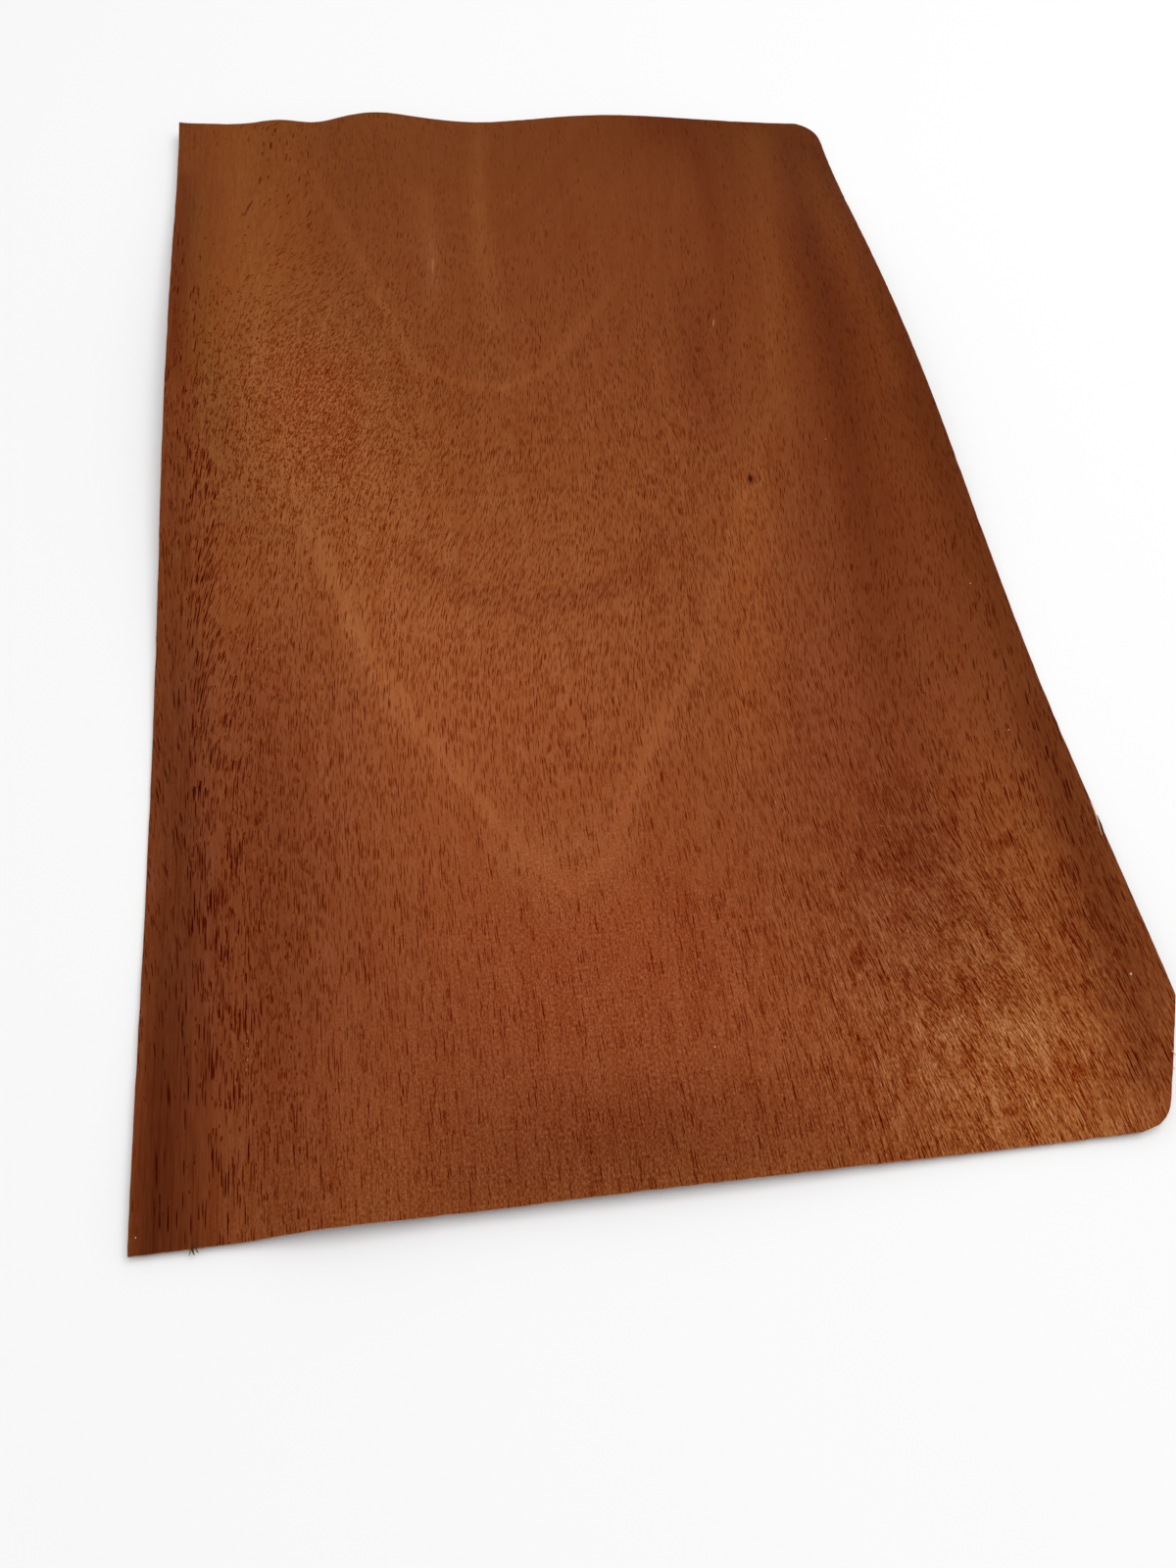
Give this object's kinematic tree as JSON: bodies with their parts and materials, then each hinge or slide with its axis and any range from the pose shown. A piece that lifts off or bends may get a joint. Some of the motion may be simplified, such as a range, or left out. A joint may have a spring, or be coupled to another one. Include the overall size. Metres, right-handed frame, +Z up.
{
  "type": "wood veneer sheet",
  "caption": "Thin rectangular leaf of sliced hardwood veneer that lies slightly waved, with square left corners and clipped right corners.",
  "frame": {"origin": "middle of the sheet's length and width, at the level of the surface that it lies on", "axes": "+Y along the grain and the length, away from the viewer; +X across the sheet to the side with the clipped corners; +Z up through the thickness"},
  "size_m": [0.2, 0.334, 0.0069],
  "materials": {
    "veneer_wood": "satin"
  },
  "bodies": {
    "root": {"veneer_sheet": "veneer_wood"}
  },
  "joints": []
}
